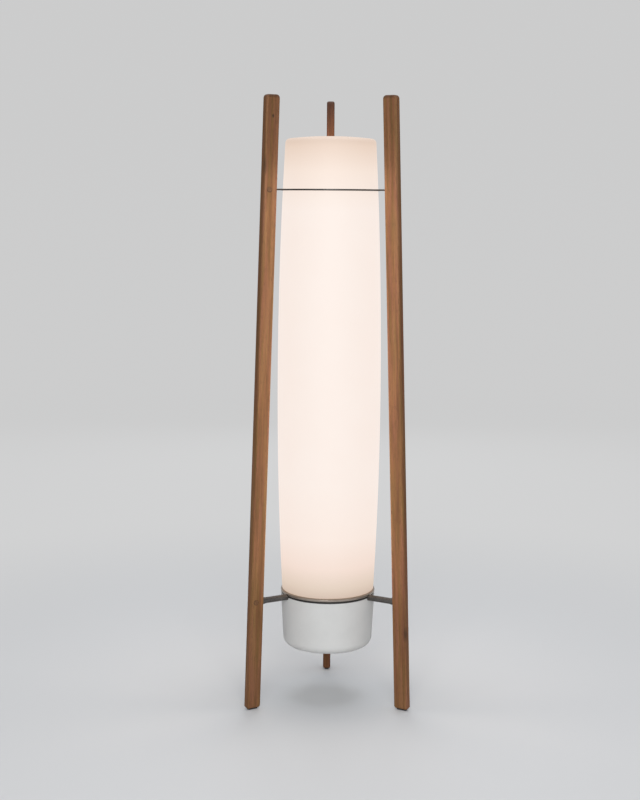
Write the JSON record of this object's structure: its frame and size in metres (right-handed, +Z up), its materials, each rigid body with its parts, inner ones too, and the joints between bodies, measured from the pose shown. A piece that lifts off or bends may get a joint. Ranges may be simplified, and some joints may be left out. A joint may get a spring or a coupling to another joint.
{
  "type": "outdoor floor lamp",
  "caption": "Tall outdoor floor lamp: a lit barrel-shaped diffuser over a white drum, held by steel arms and a hoop between leaning hardwood legs.",
  "frame": {"origin": "on the floor, at the middle of the lamp's outline in plan", "axes": "+Z up along the lamp; -Y is the pictured side, with two legs in front and one behind; +X to the right"},
  "size_m": [0.4658, 0.4095, 1.7],
  "materials": {
    "oiled_hardwood": "oiled, reddish brown, straight grain",
    "plug_hardwood": "oiled end plugs, a little darker",
    "brushed_stainless": "satin",
    "zinc_plated_steel": "bright zinc",
    "galvanised_sheet": "dull spangle",
    "opal_polyethylene": "opal white, lets the light through",
    "white_polyethylene": "white, matt",
    "black_rubber": "moulded",
    "pale_silicone": "thin sheet, matt",
    "black_nylon": "moulded",
    "extruded_aluminium": "mill finish",
    "white_polycarbonate": "moulded",
    "cream_polyamide": "moulded",
    "grey_silicone": "smooth",
    "lamp_glass": "phosphor coated",
    "pressed_aluminium": "pressed",
    "white_polyester": "moulded",
    "turned_brass": "turned"
  },
  "bodies": {
    "frame": {"leg_left": "oiled_hardwood", "leg_right": "oiled_hardwood", "leg_rear": "oiled_hardwood", "leg_plugs": "plug_hardwood", "foot_pads": "black_nylon", "foot_pad_screws": "zinc_plated_steel", "arm_left": "brushed_stainless", "arm_right": "brushed_stainless", "arm_rear": "brushed_stainless", "support_ring": "brushed_stainless", "ring_screws": "zinc_plated_steel", "upper_hoop": "brushed_stainless", "hoop_rods": "brushed_stainless", "arm_dowels": "zinc_plated_steel", "hoop_dowels": "zinc_plated_steel", "diffuser": "opal_polyethylene", "diffuser_gasket": "pale_silicone", "diffuser_inserts": "turned_brass", "diffuser_screws": "zinc_plated_steel", "gear_tray": "galvanised_sheet", "tray_screws": "zinc_plated_steel", "tray_grommet": "black_rubber", "driver": "white_polycarbonate", "driver_screws": "zinc_plated_steel", "terminal_block": "cream_polyamide", "terminal_screws": "zinc_plated_steel", "mains_leads": "grey_silicone", "lamp_leads": "grey_silicone", "spine": "extruded_aluminium", "spine_foot": "extruded_aluminium", "spine_plug": "extruded_aluminium", "spine_screws": "zinc_plated_steel", "bracket_screws": "zinc_plated_steel", "lower_lamp_bracket": "galvanised_sheet", "upper_lamp_bracket": "galvanised_sheet", "lampholders": "white_polyester", "pillars": "zinc_plated_steel", "pillar_screws": "zinc_plated_steel"},
    "drum_cover": {"drum": "white_polyethylene", "drum_seal": "black_rubber", "captive_screws": "zinc_plated_steel", "gland_body": "black_nylon", "gland_washer": "black_rubber", "gland_locknut": "black_nylon", "gland_insert": "black_rubber", "gland_nut": "black_nylon"},
    "lamp_left": {"lamp_tube_left": "lamp_glass", "lamp_caps_left": "pressed_aluminium", "lamp_rotors_left": "white_polyester"},
    "lamp_right": {"lamp_tube_right": "lamp_glass", "lamp_caps_right": "pressed_aluminium", "lamp_rotors_right": "white_polyester"}
  },
  "joints": [
    {"name": "drum_drop", "type": "slide", "parent": "frame", "child": "drum_cover", "axis": [0, 0, -1], "range_m": [0, 0.135]},
    {"name": "lamp_left_turn", "type": "hinge", "parent": "frame", "child": "lamp_left", "pos_m": [-0.038, -0.05984, 0.9495], "axis": [0, 0, 1], "range_deg": [0, 90]},
    {"name": "lamp_right_turn", "type": "hinge", "parent": "frame", "child": "lamp_right", "pos_m": [0.038, -0.05984, 0.9495], "axis": [0, 0, 1], "range_deg": [0, 90]}
  ]
}
